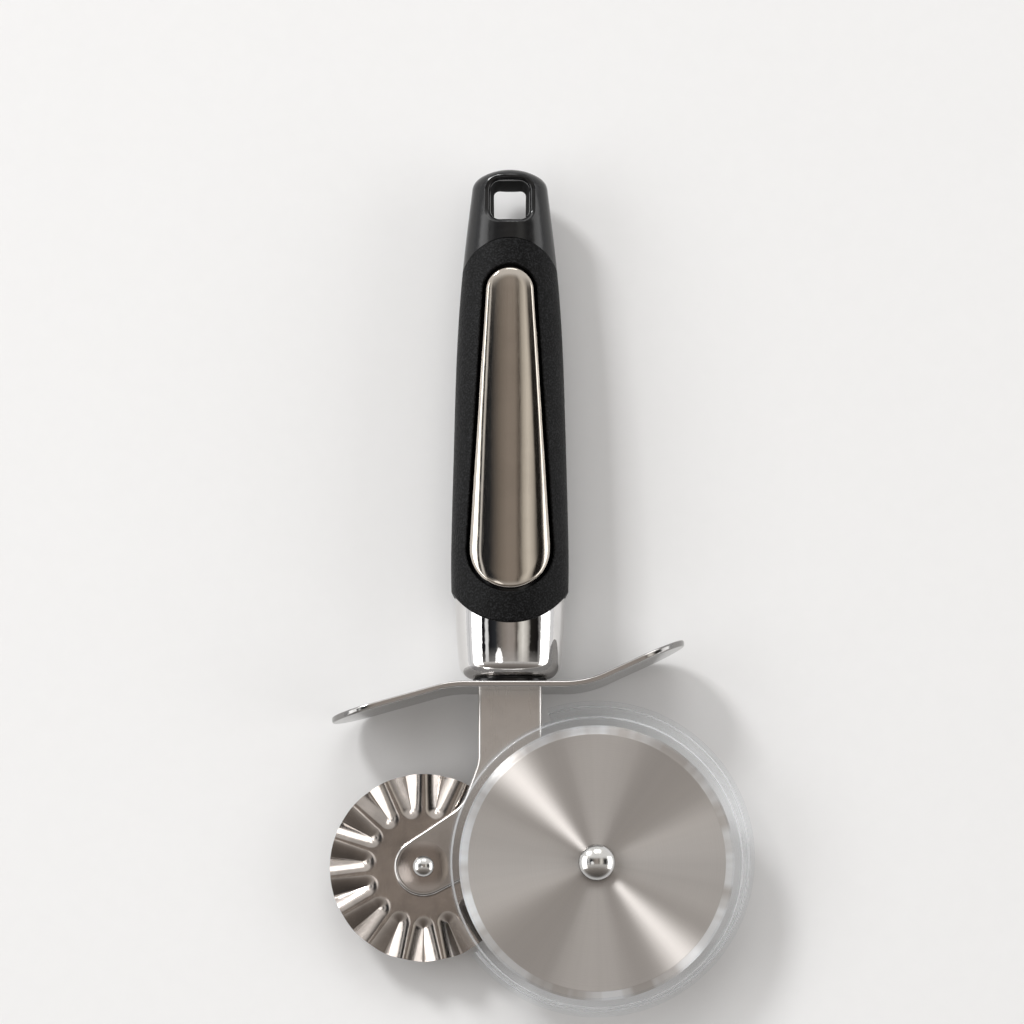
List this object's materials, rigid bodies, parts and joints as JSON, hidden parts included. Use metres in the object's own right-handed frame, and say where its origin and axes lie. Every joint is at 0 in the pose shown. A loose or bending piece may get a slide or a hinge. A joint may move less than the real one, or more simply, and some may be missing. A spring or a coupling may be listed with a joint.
{
  "type": "double pizza wheel",
  "caption": "Hand-held dough cutter: a plain pizza wheel and a fluted pastry wheel on a forked arm, with finger guard, soft-grip handle, hang hole and a removable clear blade guard.",
  "frame": {"origin": "centre of the hang hole, half way through the handle", "axes": "+Y along the handle from the wheels to its end, +X to the right seen from the face, +Z out of the face; the tool lies on its back"},
  "size_m": [0.1007, 0.2015, 0.0215],
  "materials": {
    "handle_plastic": "glossy moulded black",
    "grip_rubber": "matte, finely textured charcoal black",
    "mirror_steel": "mirror polished",
    "pad_foam": "matte",
    "collar_chrome": "bright chrome",
    "base_plastic": "satin black",
    "plain_steel": "satin",
    "guard_steel": "polished",
    "arm_steel": "satin with bright rounded edges",
    "wheel_steel": "turned, with circular brush marks",
    "rivet_steel": "polished",
    "pastry_steel": "pressed and polished",
    "clear_plastic": "clear"
  },
  "bodies": {
    "handle": {"handle_core": "handle_plastic", "grip_sleeve": "grip_rubber", "inlay_plate": "mirror_steel", "inlay_pad": "pad_foam", "collar": "collar_chrome", "collar_base": "base_plastic", "tang_pins": "plain_steel", "finger_guard": "guard_steel", "arm_plate": "arm_steel", "pizza_rivet": "rivet_steel", "pizza_spacer": "plain_steel", "pizza_back_washer": "plain_steel", "pastry_rivet": "rivet_steel", "pastry_front_washer": "plain_steel", "pastry_spacer": "plain_steel", "pastry_back_washer": "plain_steel"},
    "pizza_wheel": {"pizza_wheel": "wheel_steel"},
    "pastry_wheel": {"pastry_wheel": "pastry_steel"},
    "blade_guard": {"blade_guard": "clear_plastic"}
  },
  "joints": [
    {"name": "pizza_spin", "type": "hinge", "parent": "handle", "child": "pizza_wheel", "pos_m": [0.0205, -0.1579, 0], "axis": [0, 0, 1], "continuous": true},
    {"name": "pastry_spin", "type": "hinge", "parent": "handle", "child": "pastry_wheel", "pos_m": [-0.0204, -0.1587, 0], "axis": [0, 0, 1], "continuous": true},
    {"name": "guard_lift", "type": "slide", "parent": "handle", "child": "blade_guard", "axis": [0, 0, 1], "range_m": [0, 0.04]}
  ]
}
